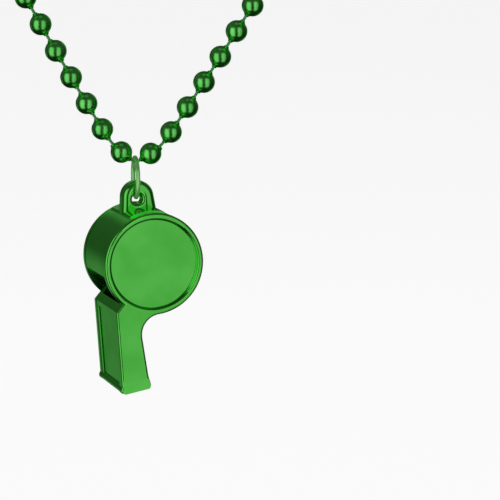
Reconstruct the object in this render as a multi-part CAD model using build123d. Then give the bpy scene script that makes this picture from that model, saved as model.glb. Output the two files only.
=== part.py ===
from build123d import *

import os
from math import acos, atan2, cos, degrees, hypot, pi, radians, sin, tan

# Toy pea whistle on a bead necklace, hanging as it hangs from two rests. Millimetres, +Z up.
# The origin is on the neck rest: level with the top of the string and straight above the
# whistle. The whistle's barrel lies along Y, its mouthpiece points down and its window side
# faces -X. The necklace hangs in an upright plane turned a little from the whistle's flat sides.

# Barrel and mouthpiece, drawn about the barrel's centre with the mouthpiece straight down
RIM_R = 13.75  # outer radius of the two covers
WHISTLE_WIDTH = 21.8  # over both covers, along the barrel
COVER_T = 2.1
BORE_R = 11.6  # the chamber that the pea runs in
SEAM = 0.12  # how far the covers stand proud of the body
EDGE_ROUND = 0.7
DISC_R = 12.3  # mouth of the sunk disc in each cover
DISC_DEPTH = 1.1
DISC_WALL_LEAN = 0.35
DISC_MOUTH_ROUND = 0.5
DISC_ROUND = 0.3
ROOF_X = -11.6  # outer face of the mouthpiece on the window side
NECK_X = -4.9  # outer face of the mouthpiece on the other side, at the neck
NECK_ROUND = 5.3
NECK_END_Z = -19.4  # below this the mouthpiece widens
SHOULDER_Z = -11.7  # where the roof starts, below the window
NOTCH = (-9.5, -9.6)  # the bevel's inner end, inside the rim
FLARE_X = -4.0  # outer face just above the flared end
FLARE_Z = -30.2
END_ROUND = 0.8
FLARE_ROUND = 4.8
LIP_FLARE = 0.9  # each side plate spreads by this much at the lips
LIP_FLARE_Z = -30.8
END_LEFT = (-12.6, -34.2)
END_RIGHT = (-3.25, -33.4)
ROOF_FLARE_Z = -32.2
# Air way
ROOF_INSIDE_X = -9.8
WINDWAY_TOP_X = -8.2  # floor of the windway at the window
WINDWAY_TOP_Z = -7.6
WINDWAY_MOUTH_X = -7.3  # and at the lips, where it is wider
WINDWAY_END_Z = -36.0  # past the end of the mouthpiece
WINDWAY_HALF = 7.8  # half its width, along the barrel
LIP = (-9.1, -6.7)
LIP_UNDERCUT = (0.5, 0.3)  # from the lip's edge to its inner corner
RAMP_ANGLE = 8.8  # degrees below the horizontal where the ramp to the lip starts
WINDOW_OUTSIDE = [(-17.0, -2.5), (-15.5, -16.0)]  # clear of the band, beyond the slot's mouth
WINDWAY_ROOF_END_Z = -31.0  # from here the inside of the roof spreads towards the lips
WINDWAY_SPREAD = 0.4
FLOOR_T = 1.2  # wall of the mouthpiece opposite its roof
BLOCK_TOP_Z = -13.4
BLOCK_END_Z = -32.9
PANEL_MARGIN = 3.4  # border on each side of the sunk panel in the roof
PANEL_TOP_Z = -13.2
PANEL_END_Z = -32.0
PANEL_DEPTH = 0.55
PANEL_CORNER = 0.5
PANEL_ROUND = 0.25  # round its mouth
SPIGOT_H = 1.0  # ring on each cover that centres it in the bore
SPIGOT_T = 0.9
SPIGOT_CLEAR = 0.3  # round the window, where the ring is cut away
FIT = 0.05
PEA_R = 4.5
# Lug
LUG_X = -0.4
LUG_R = 4.4
LUG_CENTRE_Z = 16.95
LUG_BASE_HALF = 5.1
LUG_FOOT_Z = 10.9  # inside the barrel's wall
LUG_T = 5.0
LUG_ROUND = 1.6
PAD_R = 14.2  # raised pad under the lug
PAD_HALF = 4.9
PAD_ROUND = 0.6
HOLE_X = -0.7
HOLE_Z = 16.4
HOLE_R = 1.4
HOLE_ROUND = 0.9
RECESS_R = 2.4  # sunk arch round the hole, on both faces of the lug
RECESS_DEPTH = 0.6
# Jump ring
RING_R = 5.3  # to the middle of the wire
WIRE_R = 0.6
RING_TURN = -10.0  # degrees about Z from the barrel's direction
RING_SLIT = 0.12
RING_SLIT_ANGLE = 25.0  # degrees above the level of the ring's middle, at the back
SEAT_GAP = 0.34  # between the ring's wire and the top of the hole, in the middle of the lug
# Necklace
STRING_R = 0.4
BEAD_R = 2.92
NUB_L = 0.42
NUB_BASE_R = 1.15
NUB_TIP_R = 0.64
BEAD_BORE_R = 0.45
NECKLACE_TURN = -18.0  # degrees about Z from the barrel's flat sides
FUSED_SPACING = 4.5  # between the middles of the two fused beads of the closure
APEX_BEAD = 4.65  # from the lowest point of the string to the beads beside it
BEADS_LONG_WAY = 91  # from the closure over the top and down to the ring
BEADS_SHORT_WAY = 11  # from the ring up to the closure
ARC_SHARE = 0.45  # share of the shorter run that each arc of the string takes
LOOP_CLEAR = 0.1  # between the string and the ring's wire
# The string's route in the necklace's own plane: across, up. It starts in the closure,
# goes up over the right rest, along the back, over the left rest, down to the ring, and
# ends in the closure again.
ROUTE = [
    (54.8, -181.4), (73.9, -141.3), (93.6, -96.7), (111.7, -51.6), (119.9, -28.7),
    (124.4, -16.6), (126.2, -5.7), (119.8, 0.3), (112.2, -2.2), (99.6, -8.3),
    (78.0, -20.6), (46.5, -32.6), (13.5, -38.0), (-22.0, -36.6), (-54.5, -28.0),
    (-79.0, -17.8), (-96.5, -8.9), (-106.5, -3.0), (-116.4, 1.0), (-120.3, -6.4),
    (-118.9, -14.4), (-114.2, -29.6), (-102.5, -59.7), (-84.0, -105.0), (-63.2, -150.1),
    (-41.1, -194.2), (-24.9, -224.3), (-15.4, -241.2), (-10.2, -250.1), (-6.0, -256.9),
    (0.0, -261.6), (6.9, -257.4), (11.6, -250.4), (20.2, -237.5), (37.5, -210.2),
    (52.6, -185.4),
]
RING_CORNER = 30  # the point of the route that goes round the ring's wire
# Beads in each section of the necklace, counted from the closure the long way round
SECTIONS = [
    ("beads_right_middle", 8), ("beads_right_upper", 8), ("beads_right_top", 8),
    ("beads_back_right", 8), ("beads_back_middle_right", 8), ("beads_back_middle_left", 8),
    ("beads_back_left", 7), ("beads_left_top", 9), ("beads_left_upper", 9),
    ("beads_left_middle", 9), ("beads_left_lower", 9),
]

BODY_HALF = WHISTLE_WIDTH / 2 - COVER_T
PLASTIC_DENSITY = 1.05  # of the whistle and, because it is the same plastic, of the pea


def plane_at(y):
    """Upright plane across the barrel at y, with X across and Z up, facing the front."""
    return Plane(origin=(0, y, 0), x_dir=(1, 0, 0), z_dir=(0, -1, 0))


def slab(sketch, y_front, y_back):
    """A flat outline drawn in X and Z, made solid from y_front to y_back."""
    return extrude(plane_at(y_back) * sketch, y_back - y_front, dir=(0, -1, 0))


def outline(inset=0.0):
    """The barrel's circle and the mouthpiece below it, in one outline."""
    roof = ROOF_X + inset
    leg = Polygon(
        (roof, SHOULDER_Z), (roof, ROOF_FLARE_Z), (END_LEFT[0] + inset, END_LEFT[1]),
        (END_RIGHT[0] - inset, END_RIGHT[1]), (FLARE_X - inset, FLARE_Z),
        (NECK_X - inset, NECK_END_Z), (NECK_X - inset, -BORE_R / 2), NOTCH,
        align=None,
    )
    shape = Circle(RIM_R - inset) + leg
    neck = shape.vertices().filter_by(lambda v: abs(v.X - NECK_X + inset) < 0.3 and -13.5 < v.Y < -11)
    shape = fillet(neck, NECK_ROUND)
    flare = shape.vertices().filter_by(lambda v: abs(v.Y - FLARE_Z) < 0.1)
    shape = fillet(flare, FLARE_ROUND)
    end = shape.vertices().filter_by(lambda v: v.Y < -33)
    return fillet(end, END_ROUND)


def window():
    """The slot between the lip and the mouthpiece, with the ramp that leads to the lip."""
    ramp = radians(180 + RAMP_ANGLE)
    start = ((RIM_R - SEAM) * cos(ramp), (RIM_R - SEAM) * sin(ramp))
    bevel = (NOTCH[1] - SHOULDER_Z) / (NOTCH[0] - ROOF_X)
    inner = SHOULDER_Z + bevel * (WINDWAY_TOP_X - ROOF_X)
    return Polygon(
        start, *WINDOW_OUTSIDE, (ROOF_X, SHOULDER_Z), (WINDWAY_TOP_X, inner),
        (WINDWAY_TOP_X, WINDWAY_TOP_Z), (LIP[0] + LIP_UNDERCUT[0], LIP[1] + LIP_UNDERCUT[1]), LIP,
        align=None,
    )


def windway():
    """The air's way up the mouthpiece, wider at the lips than at the window."""
    return Polygon(
        (ROOF_INSIDE_X, NOTCH[1]), (ROOF_INSIDE_X, WINDWAY_ROOF_END_Z),
        (ROOF_INSIDE_X - WINDWAY_SPREAD, WINDWAY_END_Z),
        (WINDWAY_MOUTH_X, WINDWAY_END_Z), (WINDWAY_TOP_X, WINDWAY_TOP_Z),
        align=None,
    )


def block_outline():
    """The plug between the windway and the mouthpiece's outer wall."""
    widening = (WINDWAY_MOUTH_X - WINDWAY_TOP_X) / (WINDWAY_END_Z - WINDWAY_TOP_Z)
    top = WINDWAY_TOP_X + widening * (BLOCK_TOP_Z - WINDWAY_TOP_Z)
    end = WINDWAY_TOP_X + widening * (BLOCK_END_Z - WINDWAY_TOP_Z)
    neck, flare = NECK_X - FLOOR_T, FLARE_X - FLOOR_T
    return Polygon(
        (top, BLOCK_TOP_Z), (end, BLOCK_END_Z), (flare, BLOCK_END_Z), (flare, FLARE_Z),
        (neck, NECK_END_Z), (neck, BLOCK_TOP_Z),
        align=None,
    )


def lug():
    """Rounded eye on a raised pad, with the mouths of its hole rounded for the ring."""
    drop = LUG_CENTRE_Z - LUG_FOOT_Z
    angle = acos(LUG_R / hypot(LUG_BASE_HALF, drop)) - atan2(drop, LUG_BASE_HALF)
    side, height = LUG_R * cos(angle), LUG_CENTRE_Z + LUG_R * sin(angle)
    left_foot, right_foot = (LUG_X - LUG_BASE_HALF, LUG_FOOT_Z), (LUG_X + LUG_BASE_HALF, LUG_FOOT_Z)
    left, right = (LUG_X - side, height), (LUG_X + side, height)
    top = ThreePointArc(left, (LUG_X, LUG_CENTRE_Z + LUG_R), right)
    sides = [Line(left_foot, left), Line(right, right_foot), Line(right_foot, left_foot)]
    eye = slab(make_face([top, *sides]), -LUG_T / 2, LUG_T / 2)
    above = [e for e in eye.edges() if e.center().Z > 11 and abs(abs(e.center().Y) - LUG_T / 2) < 0.01]
    eye = fillet(above, LUG_ROUND)
    arch = Circle(RECESS_R) + Pos(0, -RECESS_R) * Rectangle(2 * RECESS_R, 2 * RECESS_R)
    inner = Pos(HOLE_X, LUG_CENTRE_Z) * arch
    floor = LUG_T / 2 - RECESS_DEPTH
    eye -= slab(inner, -LUG_T, -floor)
    eye -= slab(inner, floor, LUG_T)
    eye -= Pos(HOLE_X, 0, HOLE_Z) * Rot(90, 0, 0) * Cylinder(HOLE_R, 2 * LUG_T)
    mouths = [e for e in eye.edges().filter_by(GeomType.CIRCLE) if abs(e.radius - HOLE_R) < 0.01]
    eye = fillet(mouths, HOLE_ROUND)
    band = Circle(PAD_R) & Pos(LUG_X, LUG_FOOT_Z + 2) * Rectangle(2 * PAD_HALF, 6)
    pad = slab(band, -BODY_HALF, BODY_HALF)
    long_edges = [e for e in pad.edges().filter_by(Axis.Y) if e.center().Z > 12]
    pad = fillet(long_edges, PAD_ROUND)
    joined = eye + pad
    return joined - Rot(90, 0, 0) * Cylinder(BORE_R + 0.5, 30)


def body_shell():
    """Barrel band, mouthpiece walls, ramp and lip, and the lug, moulded in one."""
    shell = slab(outline(SEAM), -BODY_HALF, BODY_HALF) + lug()
    shell -= Rot(90, 0, 0) * Cylinder(BORE_R, 30)
    shell -= slab(window(), -BODY_HALF - 1, BODY_HALF + 1)
    shell -= slab(windway(), -WINDWAY_HALF, WINDWAY_HALF)
    shell -= slab(block_outline(), -WINDWAY_HALF, WINDWAY_HALF)
    long = PANEL_TOP_Z - PANEL_END_Z
    wide = WHISTLE_WIDTH - 2 * PANEL_MARGIN
    panel = Pos(ROOF_X, 0, (PANEL_TOP_Z + PANEL_END_Z) / 2) * Box(2 * PANEL_DEPTH, wide, long)
    shell -= fillet(panel.edges().filter_by(Axis.X), PANEL_CORNER)
    face = shell.faces().filter_by(Axis.X).sort_by(Axis.X)[0]
    return fillet(face.inner_wires()[0].edges(), PANEL_ROUND)


def lip_flare(outside):
    """The outward spread of a side plate at the lips."""
    end = END_LEFT[1] - 1
    inside = outside + EDGE_ROUND
    wedge = Polygon(
        (outside, LIP_FLARE_Z), (outside - LIP_FLARE, end), (inside, end), (inside, LIP_FLARE_Z),
        align=None,
    )
    upright = Plane(origin=(ROOF_X - 2, 0, 0), x_dir=(0, 1, 0), z_dir=(1, 0, 0))
    bar = extrude(upright * wedge, -ROOF_X, dir=(1, 0, 0))
    return bar & slab(outline(EDGE_ROUND / 2), outside - 2 * LIP_FLARE, inside)


def cover(front):
    """Side plate: the rim, the sunk disc, the mouthpiece's flat side and a ring on its back."""
    outside = -WHISTLE_WIDTH / 2
    plate = slab(outline(), outside, -BODY_HALF)
    outer = [e for e in plate.edges() if abs(e.center().Y - outside) < 0.01]
    plate = fillet(outer, EDGE_ROUND)
    plate += lip_flare(outside)
    sunk = Pos(0, outside, 0) * Rot(-90, 0, 0) * Cone(
        DISC_R, DISC_R - DISC_WALL_LEAN, DISC_DEPTH, align=(Align.CENTER, Align.CENTER, Align.MIN)
    )
    plate -= sunk
    floor = [
        e for e in plate.edges().filter_by(GeomType.CIRCLE)
        if abs(e.center().Y - outside - DISC_DEPTH) < 0.01
    ]
    plate = fillet(floor, DISC_ROUND)
    mouth = [
        e for e in plate.edges().filter_by(GeomType.CIRCLE)
        if abs(e.center().Y - outside) < 0.01 and abs(e.radius - DISC_R) < 0.01
    ]
    plate = fillet(mouth, DISC_MOUTH_ROUND)
    spigot = slab(
        Circle(BORE_R - FIT) - Circle(BORE_R - FIT - SPIGOT_T), -BODY_HALF, SPIGOT_H - BODY_HALF
    )
    spigot -= slab(offset(window(), SPIGOT_CLEAR), -BODY_HALF - 1, 0)
    plate += spigot
    return plate if front else mirror(plate, Plane.XZ)


def windway_block():
    """Plug that fills the mouthpiece up to the windway."""
    return slab(block_outline(), -WINDWAY_HALF, WINDWAY_HALF)


def string_path():
    """The string's middle line: straight runs joined by arcs as large as the runs allow."""
    turn = radians(NECKLACE_TURN)
    points = [Vector(u * cos(turn), u * sin(turn), z) for u, z in ROUTE]
    radii = []
    for i in range(1, len(points) - 1):
        before, after = points[i] - points[i - 1], points[i + 1] - points[i]
        half = radians(before.get_angle(after)) / 2
        radius = ARC_SHARE * min(before.length, after.length) / tan(half)
        if i == RING_CORNER:
            radius = WIRE_R + STRING_R + LOOP_CLEAR
        radii.append(radius)
    print("string radii", [round(r, 1) for r in radii])
    return FilletPolyline(*points, radius=radii)


def tube(path, radius):
    """Round solid along a path."""
    start = Plane(origin=path @ 0, z_dir=path % 0)
    return sweep(start * Circle(radius), path=path)


def bead_profile():
    """Half section of one bead and the two cones where the string enters."""
    foot = (BEAD_R**2 - NUB_BASE_R**2) ** 0.5
    tip = BEAD_R + NUB_L
    cones = Polygon((0, -tip), (NUB_TIP_R, -tip), (NUB_BASE_R, -foot), (NUB_BASE_R, foot),
                    (NUB_TIP_R, tip), (0, tip), align=None)
    ball = Circle(BEAD_R) & Pos(BEAD_R, 0) * Rectangle(2 * BEAD_R, 4 * BEAD_R)
    return ball + cones


def along(path, distance):
    """Frame on the path at a distance from its start, with Z along the string."""
    share = distance / path.length
    return Plane(origin=path @ share, z_dir=path % share).location


def main():
    os.makedirs("parts", exist_ok=True)
    parts = {}

    whistle = {
        "body_shell": body_shell(),
        "front_cover": cover(front=True),
        "rear_cover": cover(front=False),
        "windway_block": windway_block(),
    }
    pea = Sphere(PEA_R)

    # The string, and the lowest point of its bend round the ring's wire
    path = string_path()
    edges = path.edges()
    corner = edges[2 * RING_CORNER - 1]
    to_corner = sum(e.length for e in edges[: 2 * RING_CORNER - 1])
    lowest_at = to_corner + corner.length / 2
    lowest = path @ (lowest_at / path.length)
    line = tube(path, STRING_R)
    drawn = pi * STRING_R**2 * path.length
    print(f"string {path.length:.1f} mm, tube {line.volume:.1f}, section x length {drawn:.1f}")
    parts["string"] = line

    # Beads, moulded on the string
    bead = revolve(Plane.XZ * bead_profile(), Axis.Z)
    bore = tube(path, BEAD_BORE_R)
    pitch_long = (lowest_at - APEX_BEAD) / BEADS_LONG_WAY
    pitch_short = (path.length - lowest_at - APEX_BEAD) / BEADS_SHORT_WAY
    print(f"bead pitch {pitch_long:.3f} and {pitch_short:.3f}, loop {path.length + FUSED_SPACING:.1f}")
    places = [pitch_long * (n + 1) for n in range(BEADS_LONG_WAY)]
    sections = []
    for name, count in SECTIONS:
        sections.append((name, places[:count]))
        places = places[count:]
    first = lowest_at + APEX_BEAD
    short_way = [first + pitch_short * n for n in range(BEADS_SHORT_WAY)]
    sections.append(("beads_right_lower", short_way))
    for name, distances in sections:
        beads = [along(path, d) * bead for d in distances]
        parts[name] = Compound([b - bore for b in beads])

    # Closure: the first and last bead of the moulded string, fused
    ends = [path @ 0, path @ 1]
    axis = (ends[0] - ends[1]).normalized()
    upper = Plane(origin=ends[0], z_dir=axis).location * bead
    lower = Plane(origin=ends[1], z_dir=axis).location * bead
    parts["closure_beads"] = (upper + lower) - bore

    # Ring, hanging from the string
    wire_top = lowest.Z + WIRE_R + STRING_R + LOOP_CLEAR
    ring = Rot(0, 90, 0) * Torus(RING_R, WIRE_R)
    slit = Rot(RING_SLIT_ANGLE, 0, 0) * Pos(0, RING_R, 0) * Box(3 * WIRE_R, 4 * WIRE_R, RING_SLIT)
    ring = Rot(0, 0, RING_TURN) * (ring - slit)
    parts["jump_ring"] = Pos(lowest.X, lowest.Y, wire_top - RING_R) * ring

    # Whistle, hanging in the ring with its mass straight below the hole
    weight = sum(p.volume for p in whistle.values())
    across = sum(p.volume * p.center(CenterOf.MASS).X for p in whistle.values())
    down = sum(p.volume * p.center(CenterOf.MASS).Z for p in whistle.values())
    total = weight + pea.volume
    lean = atan2(across / total - HOLE_X, HOLE_Z - down / total)
    pivot_z = wire_top - 2 * RING_R
    hole_z = pivot_z - (HOLE_R - WIRE_R - SEAT_GAP)
    hang = Pos(0, 0, hole_z) * Rot(0, degrees(lean), 0) * Pos(-HOLE_X, 0, -HOLE_Z)
    for name, piece in whistle.items():
        parts[name] = hang * piece
    barrel = hang.position
    parts["pea"] = Pos(barrel.X, 0, barrel.Z - (BORE_R - PEA_R - FIT)) * pea

    grams = PLASTIC_DENSITY * total / 1000
    print(f"lean {degrees(lean):.2f} deg, whistle {grams:.1f} g")
    print(f"ring pivot {lowest}, whistle pivot z {pivot_z:.3f}, barrel {barrel}")
    for name, shape in parts.items():
        export_step(shape, f"parts/{name}.step")
    return parts


if __name__ == "__main__":
    main()
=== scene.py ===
import math

import bmesh
import bpy
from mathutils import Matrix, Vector


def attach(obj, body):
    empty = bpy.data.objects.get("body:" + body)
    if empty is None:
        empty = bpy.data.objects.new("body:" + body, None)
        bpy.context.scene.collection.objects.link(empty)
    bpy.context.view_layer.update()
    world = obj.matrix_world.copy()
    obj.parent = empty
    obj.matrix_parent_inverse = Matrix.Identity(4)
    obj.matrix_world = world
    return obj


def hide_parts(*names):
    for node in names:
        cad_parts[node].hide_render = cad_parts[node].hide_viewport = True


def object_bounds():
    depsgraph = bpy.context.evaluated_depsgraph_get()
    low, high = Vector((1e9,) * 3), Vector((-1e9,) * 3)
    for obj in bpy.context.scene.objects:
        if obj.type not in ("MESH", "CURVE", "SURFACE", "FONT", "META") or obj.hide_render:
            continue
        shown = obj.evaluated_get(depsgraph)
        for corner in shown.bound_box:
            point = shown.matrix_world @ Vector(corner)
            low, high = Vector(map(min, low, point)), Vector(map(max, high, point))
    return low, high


# Toy pea whistle, plated green, on a bead necklace that hangs from its two upper corners.
# Metres, in the frame of the CAD model: +Z up, the whistle's front cover facing -Y.

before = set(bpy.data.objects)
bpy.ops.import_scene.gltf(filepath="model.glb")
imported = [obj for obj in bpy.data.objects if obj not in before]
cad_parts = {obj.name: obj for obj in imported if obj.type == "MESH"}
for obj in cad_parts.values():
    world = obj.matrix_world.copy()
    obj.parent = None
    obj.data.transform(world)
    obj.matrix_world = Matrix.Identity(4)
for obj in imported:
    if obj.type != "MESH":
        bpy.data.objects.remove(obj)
cad_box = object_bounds()

# ---------------------------------------------------------------- driving sizes
NECKLACE_TURN = math.radians(-18)  # the necklace's upright plane, about Z
STRING_D = 0.0008
BEAD_R = 0.00292
NUB_L = 0.00042  # cone at each end of a bead, over the string
NUB_BASE_R = 0.00115
NUB_TIP_R = 0.00064
NUB_EDGE = 0.00006  # rounding at a cone's tip
BEAD_BORE_R = 0.00032  # a little under the string's, so that no gap shows
BEAD_SEAM = 0.00003  # the mould's seam stands this far proud round the middle
APEX_BEAD = 0.00465  # along the string from its lowest point to the beads beside it
BEADS_SHORT_WAY = 11  # from the ring up to the closure
ROUND_STEPS = 40  # faces round a bead
PROFILE_STEPS = 22  # and from one end of its ball to the other
CURVE_STEPS = 24  # of the string, between two points of its route

# The string's route in the necklace's plane, in metres: across, up. It starts in the
# closure's upper bead, goes over the right corner, along the back, over the left corner, down
# and round the ring's wire, and up to the closure's lower bead.
ROUTE = [
    (0.0548, -0.1814), (0.0739, -0.1413), (0.0936, -0.0967), (0.1117, -0.0516),
    (0.1199, -0.0287), (0.1244, -0.0166), (0.1262, -0.0057), (0.1198, 0.0003),
    (0.1122, -0.0022), (0.0996, -0.0083), (0.0780, -0.0206), (0.0465, -0.0326),
    (0.0135, -0.0380), (-0.0220, -0.0366), (-0.0545, -0.0280), (-0.0790, -0.0178),
    (-0.0965, -0.0089), (-0.1065, -0.0030), (-0.1164, 0.0010), (-0.1203, -0.0064),
    (-0.1189, -0.0144), (-0.1142, -0.0296), (-0.1025, -0.0597), (-0.0840, -0.1050),
    (-0.0632, -0.1501), (-0.0411, -0.1942), (-0.0249, -0.2243), (-0.0154, -0.2412),
    (-0.0102, -0.2501), (-0.0060, -0.2569), (-0.0017, -0.2603), (0.0000, -0.26165),
    (0.0019, -0.26045), (0.0069, -0.2574), (0.0116, -0.2504), (0.0202, -0.2375),
    (0.0375, -0.2102), (0.0526, -0.1854),
]

# Beads in each section of the necklace, from the closure the long way round
SECTIONS = {
    "beads_right_middle": 8, "beads_right_upper": 8, "beads_right_top": 8,
    "beads_back_right": 8, "beads_back_middle_right": 8, "beads_back_middle_left": 8,
    "beads_back_left": 7, "beads_left_top": 9, "beads_left_upper": 9,
    "beads_left_middle": 9, "beads_left_lower": 9,
}

# ---------------------------------------------------------------- camera
VIEW_AZIMUTH = math.radians(-20.2)
VIEW_ELEVATION = math.radians(10.0)
VIEW_DISTANCE = 0.6
AIM = Vector((0.0328, 0, -0.2874))
LENS = 156.7


def look_from(azimuth, elevation):
    """Unit vector from the object towards a camera at this azimuth and elevation."""
    level = math.cos(elevation)
    return Vector((math.sin(azimuth) * level, -math.cos(azimuth) * level, math.sin(elevation)))


camera_data = bpy.data.cameras.new("camera")
camera_data.lens = LENS
camera_data.clip_start, camera_data.clip_end = 0.01, 20
camera = bpy.data.objects.new("camera", camera_data)
bpy.context.scene.collection.objects.link(camera)
towards_camera = look_from(VIEW_AZIMUTH, VIEW_ELEVATION)
camera.location = AIM + VIEW_DISTANCE * towards_camera
camera.rotation_mode = "QUATERNION"
camera.rotation_quaternion = (-towards_camera).to_track_quat("-Z", "Y")
bpy.context.scene.camera = camera


# ---------------------------------------------------------------- materials
class Nodes:
    """Short calls for building a node tree."""

    def __init__(self, tree):
        self.tree = tree
        tree.nodes.clear()

    def add(self, kind, inputs=None, **settings):
        node = self.tree.nodes.new(kind)
        for name, value in settings.items():
            setattr(node, name, value)
        for name, value in (inputs or {}).items():
            if isinstance(value, bpy.types.NodeSocket):
                self.tree.links.new(value, node.inputs[name])
            else:
                node.inputs[name].default_value = value
        return node

    def math(self, operation, a, b=0.0, c=0.0):
        return self.add("ShaderNodeMath", {0: a, 1: b, 2: c}, operation=operation).outputs[0]

    def mix(self, share, a, b):
        node = self.add("ShaderNodeMix", data_type="RGBA")
        for index, value in ((0, share), (6, a), (7, b)):
            if isinstance(value, bpy.types.NodeSocket):
                self.tree.links.new(value, node.inputs[index])
            else:
                node.inputs[index].default_value = value
        return node.outputs[2]

    def ramp(self, value, low, high, to_low=0.0, to_high=1.0):
        node = self.add(
            "ShaderNodeMapRange",
            {"Value": value, "From Min": low, "From Max": high, "To Min": to_low, "To Max": to_high},
            interpolation_type="SMOOTHSTEP",
        )
        return node.outputs["Result"]

    def place(self):
        """Where a point is on its object, for patterns that move with it."""
        return self.add("ShaderNodeTexCoord").outputs["Object"]

    def noise(self, place, scale, detail, roughness):
        node = self.add("ShaderNodeTexNoise", {"Vector": place, "Scale": scale, "Detail": detail,
                                               "Roughness": roughness})
        return node.outputs["Fac"]


def new_material(name):
    """A material without nodes, and the helper that adds them."""
    material = bpy.data.materials.new(name)
    material.use_nodes = True
    return material, Nodes(material.node_tree)


NOISE_BAND = (0.3, 0.7)  # the part of a noise's values that most of it lies in
PEEL_SCALE = 2600.0  # orange peel, in waves per metre
PEEL_HEIGHT = 0.012  # as a share of the ripple
SPECK_SCALE = 1400.0
SPECK_BAND = (0.64, 0.78)
SPECK_DEPTH = 0.35
SPECK_ROUGHNESS = 0.10
GRAIN_SCALE = 900.0
GRAIN_DEPTH = 0.00004


def plated(name, colour, dark, edge, roughness, ripple, ripple_size, coat, metal=1.0):
    """Vacuum-plated plastic: a coloured mirror coat over a moulding that isn't quite flat, with
    fine specks where the plating is thin, and a clear lacquer."""
    material, n = new_material(name)
    place = n.place()
    waves = n.noise(place, 1 / ripple_size, detail=2.0, roughness=0.5)
    peel = n.noise(place, PEEL_SCALE, detail=3.0, roughness=0.6)
    specks = n.noise(place, SPECK_SCALE, detail=4.0, roughness=0.7)
    thin = n.ramp(specks, *SPECK_BAND)
    tint = n.mix(n.ramp(waves, *NOISE_BAND), (*colour, 1), (*dark, 1))
    tint = n.mix(n.math("MULTIPLY", thin, SPECK_DEPTH), tint, (*[0.5 * c for c in dark], 1))
    shine = n.math("ADD", n.ramp(waves, *NOISE_BAND, roughness, roughness * 1.25),
                   n.math("MULTIPLY", thin, SPECK_ROUGHNESS))
    height = n.math("ADD", n.math("MULTIPLY", waves, ripple),
                    n.math("MULTIPLY", peel, PEEL_HEIGHT * ripple))
    bump = n.add("ShaderNodeBump", {"Height": height, "Distance": 0.001, "Strength": 1.0})
    surface = n.add(
        "ShaderNodeBsdfPrincipled",
        {"Base Color": tint, "Metallic": metal, "Roughness": shine, "Normal": bump.outputs[0],
         "Specular Tint": (*edge, 1), "Coat Weight": coat, "Coat Roughness": 0.08},
    )
    n.add("ShaderNodeOutputMaterial", {"Surface": surface.outputs[0]})
    return material


def plain_plastic(name, colour, roughness):
    """Moulded plastic that isn't plated, with a fine grain."""
    material, n = new_material(name)
    grain = n.noise(n.place(), GRAIN_SCALE, detail=5.0, roughness=0.6)
    tint = n.mix(n.ramp(grain, *NOISE_BAND), (*[0.85 * c for c in colour], 1), (*colour, 1))
    bump = n.add("ShaderNodeBump", {"Height": grain, "Distance": GRAIN_DEPTH, "Strength": 0.6})
    surface = n.add(
        "ShaderNodeBsdfPrincipled",
        {"Base Color": tint, "Roughness": n.ramp(grain, *NOISE_BAND, roughness, roughness + 0.1),
         "Normal": bump.outputs[0]},
    )
    n.add("ShaderNodeOutputMaterial", {"Surface": surface.outputs[0]})
    return material


def thread(name, colour):
    """Coated thread: fine twisted strands under a glossy skin."""
    material, n = new_material(name)
    strands = n.add(
        "ShaderNodeTexWave",
        {"Vector": n.place(), "Scale": GRAIN_SCALE, "Distortion": 1.5, "Detail": 1.0},
        bands_direction="DIAGONAL",
    ).outputs["Fac"]
    tint = n.mix(strands, (*[0.6 * c for c in colour], 1), (*colour, 1))
    bump = n.add("ShaderNodeBump", {"Height": strands, "Distance": GRAIN_DEPTH, "Strength": 0.7})
    surface = n.add(
        "ShaderNodeBsdfPrincipled",
        {"Base Color": tint, "Metallic": 0.6, "Roughness": 0.35, "Normal": bump.outputs[0],
         "Coat Weight": 0.3},
    )
    n.add("ShaderNodeOutputMaterial", {"Surface": surface.outputs[0]})
    return material


WHISTLE_GREEN = plated(
    "whistle_plating", colour=(0.155, 0.82, 0.12), dark=(0.12, 0.72, 0.09), edge=(0.5, 0.9, 0.5),
    roughness=0.15, ripple=0.012, ripple_size=0.009, coat=0.08)
BEAD_GREEN = plated(
    "bead_plating", colour=(0.19, 0.92, 0.17), dark=(0.14, 0.80, 0.13), edge=(0.05, 0.35, 0.05),
    roughness=0.20, ripple=0.006, ripple_size=0.004, coat=0.25)
RING_GREEN = plated(
    "ring_plating", colour=(0.40, 1.0, 0.32), dark=(0.34, 0.95, 0.27), edge=(0.6, 1.0, 0.5),
    roughness=0.10, ripple=0.004, ripple_size=0.003, coat=1.0, metal=0.6)
PEA_GREEN = plain_plastic("pea_plastic", (0.10, 0.50, 0.08), roughness=0.35)
STRING_GREEN = thread("string_thread", (0.10, 0.50, 0.14))


def paint(obj, material):
    """One material on every slot of an object."""
    if not obj.material_slots:
        obj.data.materials.append(material)
    for held in obj.material_slots:
        held.material = material


# ---------------------------------------------------------------- string
def in_frame(across, up):
    """A point of the necklace's plane, in the object's frame."""
    return Vector((across * math.cos(NECKLACE_TURN), across * math.sin(NECKLACE_TURN), up))


def route_curve(name, bevel):
    """The route as a smooth curve with ends, as a bare line or as a tube."""
    data = bpy.data.curves.new(name, "CURVE")
    data.dimensions = "3D"
    data.resolution_u = CURVE_STEPS
    line = data.splines.new("NURBS")
    line.points.add(len(ROUTE) - 1)
    for point, (across, up) in zip(line.points, ROUTE):
        point.co = (*in_frame(across, up), 1)
    line.order_u = 3
    line.use_endpoint_u = True
    data.bevel_depth = bevel
    data.bevel_resolution = 3
    return bpy.data.objects.new(name, data)


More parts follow.
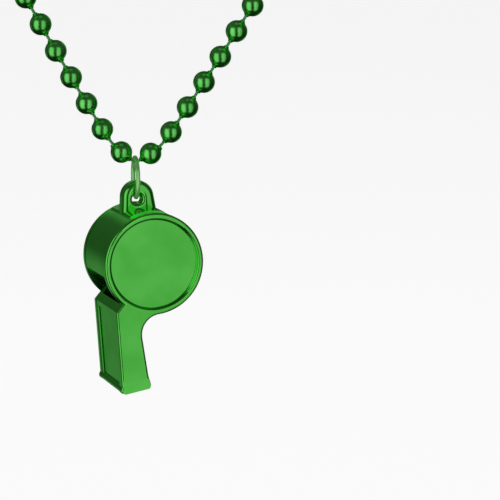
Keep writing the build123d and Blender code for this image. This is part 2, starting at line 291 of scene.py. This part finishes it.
class Line:
    """The middle line of the string, measured along its length."""

    def __init__(self):
        bare = route_curve("route", 0.0)
        bpy.context.scene.collection.objects.link(bare)
        bpy.context.view_layer.update()
        evaluated = bare.evaluated_get(bpy.context.evaluated_depsgraph_get())
        mesh = bpy.data.meshes.new_from_object(evaluated)
        self.points = [v.co.copy() for v in mesh.vertices]
        self.at = [0.0]
        for a, b in zip(self.points, self.points[1:]):
            self.at.append(self.at[-1] + (b - a).length)
        bpy.data.meshes.remove(mesh)
        bpy.data.objects.remove(bare)

    @property
    def length(self):
        return self.at[-1]

    def place(self, distance):
        """Position and direction of the string at a distance from its start."""
        last = len(self.at) - 2
        i = min(max(sum(1 for a in self.at if a <= distance) - 1, 0), last)
        span = self.at[i + 1] - self.at[i]
        share = (distance - self.at[i]) / span
        here = self.points[i].lerp(self.points[i + 1], share)
        before, after = self.points[max(i - 1, 0)], self.points[min(i + 2, last + 1)]
        return here, (after - before).normalized()

    def lowest(self):
        """Distance from the start to the lowest point, in the ring."""
        return self.at[min(range(len(self.points)), key=lambda i: self.points[i].z)]


line = Line()
string = route_curve("string_thread", STRING_D / 2)
bpy.context.scene.collection.objects.link(string)
paint(string, STRING_GREEN)
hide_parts("string")
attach(string, "necklace")


# ---------------------------------------------------------------- beads
def bead_profile():
    """Half section of a bead from its upper cone's tip to its lower one's: radius, height."""
    foot = math.sqrt(BEAD_R**2 - NUB_BASE_R**2)
    tip = BEAD_R + NUB_L
    start = math.asin(NUB_BASE_R / BEAD_R)
    cone = [
        (BEAD_BORE_R, tip),
        (NUB_TIP_R * 0.86, tip),
        (NUB_TIP_R, tip - NUB_EDGE),
        (NUB_TIP_R * 1.15, foot + (tip - foot) * 0.45),
    ]
    ball = []
    for k in range(PROFILE_STEPS + 1):
        angle = start + (math.pi - 2 * start) * k / PROFILE_STEPS
        radius = BEAD_R + (BEAD_SEAM if k == PROFILE_STEPS // 2 else 0.0)
        ball.append((radius * math.sin(angle), BEAD_R * math.cos(angle)))
    return cone + ball + [(r, -z) for r, z in reversed(cone)]


PROFILE = bead_profile()


def add_bead(mesh, here, along):
    """A bead in a bmesh, with its bore along the string."""
    turn = along.to_track_quat("Z", "Y").to_matrix()
    rings = []
    for radius, height in PROFILE:
        ring = []
        for k in range(ROUND_STEPS):
            angle = 2 * math.pi * k / ROUND_STEPS
            local = Vector((radius * math.cos(angle), radius * math.sin(angle), height))
            ring.append(mesh.verts.new(here + turn @ local))
        rings.append(ring)
    for upper, lower in zip(rings, rings[1:]):
        for k in range(ROUND_STEPS):
            after = (k + 1) % ROUND_STEPS
            mesh.faces.new((upper[k], lower[k], lower[after], upper[after]))
    for k in range(ROUND_STEPS):  # inner wall, so that each bead is a closed skin
        after = (k + 1) % ROUND_STEPS
        mesh.faces.new((rings[0][after], rings[-1][after], rings[-1][k], rings[0][k]))


def bead_piece(name, node, places):
    """Beads at these places, as one smooth mesh that stands for a CAD node."""
    mesh = bmesh.new()
    for here, along in places:
        add_bead(mesh, here, along)
    bmesh.ops.recalc_face_normals(mesh, faces=mesh.faces)
    data = bpy.data.meshes.new(name)
    mesh.to_mesh(data)
    mesh.free()
    data.shade_smooth()
    piece = bpy.data.objects.new(name, data)
    bpy.context.scene.collection.objects.link(piece)
    paint(piece, BEAD_GREEN)
    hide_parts(node)
    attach(piece, "necklace")
    return piece


lowest = line.lowest()
long_way = sum(SECTIONS.values())
pitch = (lowest - APEX_BEAD) / long_way
done = 0
for node, count in SECTIONS.items():
    places = [line.place(pitch * (done + n + 1)) for n in range(count)]
    bead_piece(node + "_set", node, places)
    done += count
first = lowest + APEX_BEAD
pitch = (line.length - first) / BEADS_SHORT_WAY
places = [line.place(first + pitch * n) for n in range(BEADS_SHORT_WAY)]
bead_piece("beads_right_lower_set", "beads_right_lower", places)

upper_end, lower_end = line.points[0], line.points[-1]
closure_way = (upper_end - lower_end).normalized()
closure = bead_piece("closure_bead_pair", "closure_beads",
                     [(upper_end, closure_way), (lower_end, closure_way)])

# ---------------------------------------------------------------- CAD nodes
CAD_LOOKS = {
    "body_shell": (WHISTLE_GREEN, "whistle_plastic"),
    "front_cover": (WHISTLE_GREEN, "whistle_plastic"),
    "rear_cover": (WHISTLE_GREEN, "whistle_plastic"),
    "windway_block": (WHISTLE_GREEN, "whistle_plastic"),
    "jump_ring": (RING_GREEN, "ring_metal"),
    "pea": (PEA_GREEN, "pea_plastic"),
}
for node, (material, slot) in CAD_LOOKS.items():
    paint(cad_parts[node], material)

# ---------------------------------------------------------------- stage and light
FLOOR_DROP = 0.16  # below the lowest point of the whistle
FLOOR_HALF = 6.0
FLOOR_GLOW = 0.765  # brings the floor up to the white behind it
BACKGROUND = 0.96  # white where the camera looks past the object and the floor


def floor_material():
    """Matt white card that glows a little."""
    material, n = new_material("studio_floor")
    surface = n.add(
        "ShaderNodeBsdfPrincipled",
        {"Base Color": (0.9, 0.9, 0.9, 1), "Roughness": 0.9, "Specular IOR Level": 0.0,
         "Emission Color": (1, 1, 1, 1), "Emission Strength": FLOOR_GLOW},
    )
    n.add("ShaderNodeOutputMaterial", {"Surface": surface.outputs[0]})
    return material


floor_data = bpy.data.meshes.new("floor")
floor_z = cad_box[0].z - FLOOR_DROP
corners = [(-1, -1), (1, -1), (1, 1), (-1, 1)]
floor_data.from_pydata([(x * FLOOR_HALF, y * FLOOR_HALF, floor_z) for x, y in corners],
                       [], [(0, 1, 2, 3)])
floor = bpy.data.objects.new("floor", floor_data)
bpy.context.scene.collection.objects.link(floor)
floor_data.materials.append(floor_material())
floor.visible_glossy = False

# Soft boxes round the object, in degrees: azimuth and elevation of the middle, half width, half
# height and the softness of the edge, then the strength
SOFT_BOXES = [
    (17, -6, 22, 44, 10, 0.50),
    (-64, -6, 25, 42, 10, 0.75),
    (135, -6, 18, 40, 12, 0.32),
    (7, -4, 3, 44, 4, 0.45),
    (-160, -20, 26, 12, 8, 0.20),
    (-150, 20, 34, 36, 14, 0.05),
    (174, 20, 8, 9, 5, 0.22),
    (0, 90, 180, 14, 5, 0.14),
]
DARK = 0.035  # of the room between them: 0.6 of this low down, 2.2 times it high up


def studio_world():
    """White where the camera looks past the object, and soft boxes in a dark room for what the
    plating mirrors."""
    world = bpy.data.worlds.new("studio")
    bpy.context.scene.world = world
    world.use_nodes = True
    n = Nodes(world.node_tree)
    way = n.add("ShaderNodeSeparateXYZ", {0: n.add("ShaderNodeTexCoord").outputs["Generated"]})
    x, y, z = way.outputs
    azimuth = n.math("MULTIPLY", n.math("ARCTAN2", x, n.math("MULTIPLY", y, -1.0)), 180 / math.pi)
    level = n.math("SQRT", n.math("ADD", n.math("MULTIPLY", x, x), n.math("MULTIPLY", y, y)))
    elevation = n.math("MULTIPLY", n.math("ARCTAN2", z, level), 180 / math.pi)
    total = n.ramp(elevation, -40.0, 70.0, DARK * 0.6, DARK * 2.2)
    for middle, height, wide, tall, edge, strength in SOFT_BOXES:
        off = n.math("ABSOLUTE", n.math("WRAP", n.math("SUBTRACT", azimuth, middle), 180.0, -180.0))
        over = n.math("ABSOLUTE", n.math("SUBTRACT", elevation, height))
        lit = n.math("MULTIPLY", n.ramp(off, wide - edge, wide + edge, strength, 0.0),
                     n.ramp(over, tall - edge, tall + edge, 1.0, 0.0))
        total = n.math("ADD", total, lit)
    ray = n.add("ShaderNodeLightPath")
    seen = n.add("ShaderNodeBackground", {"Color": (1, 1, 1, 1), "Strength": BACKGROUND})
    lighting = n.add("ShaderNodeBackground", {"Color": (1, 1, 1, 1), "Strength": total})
    both = n.add("ShaderNodeMixShader", {0: ray.outputs["Is Camera Ray"], 1: lighting.outputs[0],
                                         2: seen.outputs[0]})
    n.add("ShaderNodeOutputWorld", {"Surface": both.outputs[0]})


studio_world()


OVERHEAD_AIM = Vector((0, 0, -0.2))  # on the necklace
OVERHEAD_ELEVATION = math.radians(85)
OVERHEAD_DISTANCE = 1.6
OVERHEAD_SIZE = 1.6
OVERHEAD_POWER = 3.0

overhead_data = bpy.data.lights.new("overhead", "AREA")
overhead_data.shape, overhead_data.size = "SQUARE", OVERHEAD_SIZE
overhead_data.energy = OVERHEAD_POWER
overhead = bpy.data.objects.new("overhead", overhead_data)
bpy.context.scene.collection.objects.link(overhead)
towards_light = look_from(0.0, OVERHEAD_ELEVATION)
overhead.location = OVERHEAD_AIM + OVERHEAD_DISTANCE * towards_light
overhead.rotation_mode = "QUATERNION"
overhead.rotation_quaternion = (-towards_light).to_track_quat("-Z", "Y")
overhead.visible_glossy = False

bpy.context.scene.view_settings.view_transform = "Standard"
